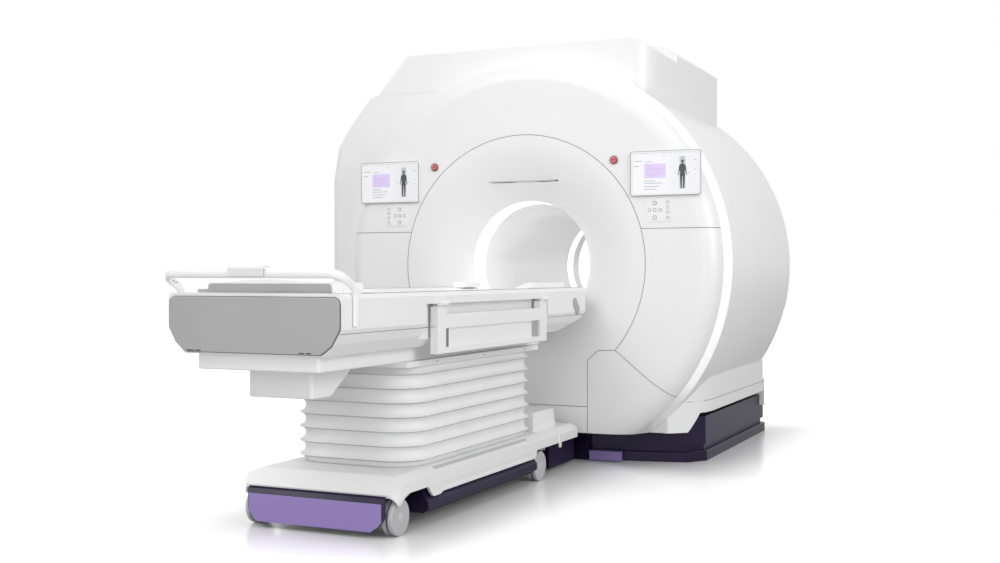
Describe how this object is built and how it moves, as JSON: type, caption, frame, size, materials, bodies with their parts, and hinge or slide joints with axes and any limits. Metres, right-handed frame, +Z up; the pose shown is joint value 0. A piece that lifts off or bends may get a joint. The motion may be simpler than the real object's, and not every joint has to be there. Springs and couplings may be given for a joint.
{
  "type": "mri scanner",
  "caption": "Whole-body MRI scanner: round-fronted magnet enclosure with a patient bore, and a docked rolling table that lifts, with a sliding cradle and fold-up side rails.",
  "frame": {"origin": "on the floor under the middle of the patient bore", "axes": "+Z up, +Y along the bore from the table into the magnet, +X to the right of someone facing the bore from the table"},
  "size_m": [2.515, 4.5394, 2.39],
  "materials": {
    "white_cover": "satin moulded cover",
    "white_trim": "glossy rim",
    "lit_ring": "lit diffuser",
    "bore_white": "smooth liner",
    "steel": "painted vessel",
    "coil": "potted coil",
    "dark_purple": "dark violet paint",
    "violet": "violet paint",
    "grey_panel": "grey moulded panel",
    "red_button": "red button",
    "screen": "display glass",
    "bellows_rubber": "white elastomer",
    "wheel_grey": "grey tread",
    "fork_metal": "painted fork",
    "chassis": "painted frame",
    "column": "extruded column"
  },
  "bodies": {
    "gantry": {"base_plinth": "dark_purple", "base_skirt": "dark_purple", "bore_bridge": "bore_white", "bore_light_rings": "lit_ring", "bore_liner": "bore_white", "cold_head": "steel", "cover_frames": "steel", "display_housings": "white_cover", "display_screens": "screen", "dock_panel": "white_cover", "dock_receptacle": "dark_purple", "front_inner_disc": "bore_white", "front_left_cover": "white_cover", "front_right_cover": "white_cover", "front_rim_ring": "white_trim", "front_upper_cover": "white_cover", "gradient_coil": "coil", "keypads": "white_cover", "magnet_feet": "steel", "magnet_vessel": "steel", "rear_cover": "white_cover", "rf_body_coil": "coil", "service_panels": "white_cover", "side_cover_left": "white_cover", "side_cover_right": "white_cover", "side_skirts": "white_cover", "top_cover_front": "white_cover", "top_cover_rear": "white_cover"},
    "table_base": {"base_cover": "white_cover", "base_chassis": "chassis", "base_end_plate": "violet", "lift_outer": "column", "bellows": "bellows_rubber", "table_dock_unit": "dark_purple"},
    "table_top": {"lift_inner": "column", "lift_top_frame": "white_cover", "pump_housing": "white_cover", "table_lower_shell": "white_cover", "table_upper_frame": "white_cover", "table_end_panel": "grey_panel", "push_handle": "white_trim"},
    "cradle": {"cradle": "bore_white", "cradle_end_block": "grey_panel", "coil_ports": "white_trim"},
    "release": {"handle_release": "white_trim"},
    "rail_right": {"side_rail_right": "white_cover"},
    "rail_left": {"side_rail_left": "white_cover"},
    "side_button_right": {"side_button_right": "white_cover"},
    "side_button_left": {"side_button_left": "white_cover"},
    "stop_button_right": {"stop_button_right": "red_button"},
    "stop_button_left": {"stop_button_left": "red_button"},
    "pedal": {"dock_pedal": "violet"},
    "fork_foot_right": {"caster_fork_foot_right": "fork_metal"},
    "wheel_foot_right": {"caster_wheel_foot_right": "wheel_grey"},
    "fork_foot_left": {"caster_fork_foot_left": "fork_metal"},
    "wheel_foot_left": {"caster_wheel_foot_left": "wheel_grey"},
    "fork_head_right": {"caster_fork_head_right": "fork_metal"},
    "wheel_head_right": {"caster_wheel_head_right": "wheel_grey"},
    "fork_head_left": {"caster_fork_head_left": "fork_metal"},
    "wheel_head_left": {"caster_wheel_head_left": "wheel_grey"}
  },
  "joints": [
    {"name": "undock", "type": "slide", "parent": "gantry", "child": "table_base", "axis": [0, 1, 0], "range_m": [-0.6, 0]},
    {"name": "lift", "type": "slide", "parent": "table_base", "child": "table_top", "axis": [0, 0, 1], "range_m": [-0.25, 0], "deforming": ["bellows"]},
    {"name": "cradle_slide", "type": "slide", "parent": "table_top", "child": "cradle", "axis": [0, 1, 0], "range_m": [0, 1.7]},
    {"name": "rail_right_fold", "type": "hinge", "parent": "table_top", "child": "rail_right", "pos_m": [0.404, -2.1115, 0.925], "axis": [0, -1, 0], "range_deg": [0, 180]},
    {"name": "rail_left_fold", "type": "hinge", "parent": "table_top", "child": "rail_left", "pos_m": [-0.404, -2.1115, 0.925], "axis": [0, 1, 0], "range_deg": [0, 180]},
    {"name": "release_press", "type": "hinge", "parent": "table_top", "child": "release", "pos_m": [0, -3.464, 1.052], "axis": [-1, 0, 0], "range_deg": [0, 8], "stiffness_Nm_per_rad": 3},
    {"name": "pedal_press", "type": "hinge", "parent": "gantry", "child": "pedal", "pos_m": [0.43, -0.7329, 0.045], "axis": [1, 0, 0], "range_deg": [0, 4], "stiffness_Nm_per_rad": 30},
    {"name": "stop_press_right", "type": "slide", "parent": "gantry", "child": "stop_button_right", "axis": [0, 1, 0], "range_m": [0, 0.004], "stiffness_N_per_m": 800},
    {"name": "side_press_right", "type": "slide", "parent": "table_top", "child": "side_button_right", "axis": [-1, 0, 0], "range_m": [0, 0.003], "stiffness_N_per_m": 800},
    {"name": "stop_press_left", "type": "slide", "parent": "gantry", "child": "stop_button_left", "axis": [0, 1, 0], "range_m": [0, 0.004], "stiffness_N_per_m": 800},
    {"name": "side_press_left", "type": "slide", "parent": "table_top", "child": "side_button_left", "axis": [1, 0, 0], "range_m": [0, 0.003], "stiffness_N_per_m": 800},
    {"name": "swivel_foot_right", "type": "hinge", "parent": "table_base", "child": "fork_foot_right", "pos_m": [0.327, -2.875, 0.154], "axis": [0, 0, 1], "continuous": true},
    {"name": "roll_foot_right", "type": "hinge", "parent": "fork_foot_right", "child": "wheel_foot_right", "pos_m": [0.327, -2.933, 0.075], "axis": [1, 0, 0], "continuous": true},
    {"name": "swivel_foot_left", "type": "hinge", "parent": "table_base", "child": "fork_foot_left", "pos_m": [-0.327, -2.875, 0.154], "axis": [0, 0, 1], "continuous": true},
    {"name": "roll_foot_left", "type": "hinge", "parent": "fork_foot_left", "child": "wheel_foot_left", "pos_m": [-0.327, -2.933, 0.075], "axis": [1, 0, 0], "continuous": true},
    {"name": "swivel_head_right", "type": "hinge", "parent": "table_base", "child": "fork_head_right", "pos_m": [0.327, -1.43, 0.154], "axis": [0, 0, 1], "continuous": true},
    {"name": "roll_head_right", "type": "hinge", "parent": "fork_head_right", "child": "wheel_head_right", "pos_m": [0.327, -1.488, 0.075], "axis": [1, 0, 0], "continuous": true},
    {"name": "swivel_head_left", "type": "hinge", "parent": "table_base", "child": "fork_head_left", "pos_m": [-0.327, -1.43, 0.154], "axis": [0, 0, 1], "continuous": true},
    {"name": "roll_head_left", "type": "hinge", "parent": "fork_head_left", "child": "wheel_head_left", "pos_m": [-0.327, -1.488, 0.075], "axis": [1, 0, 0], "continuous": true}
  ]
}
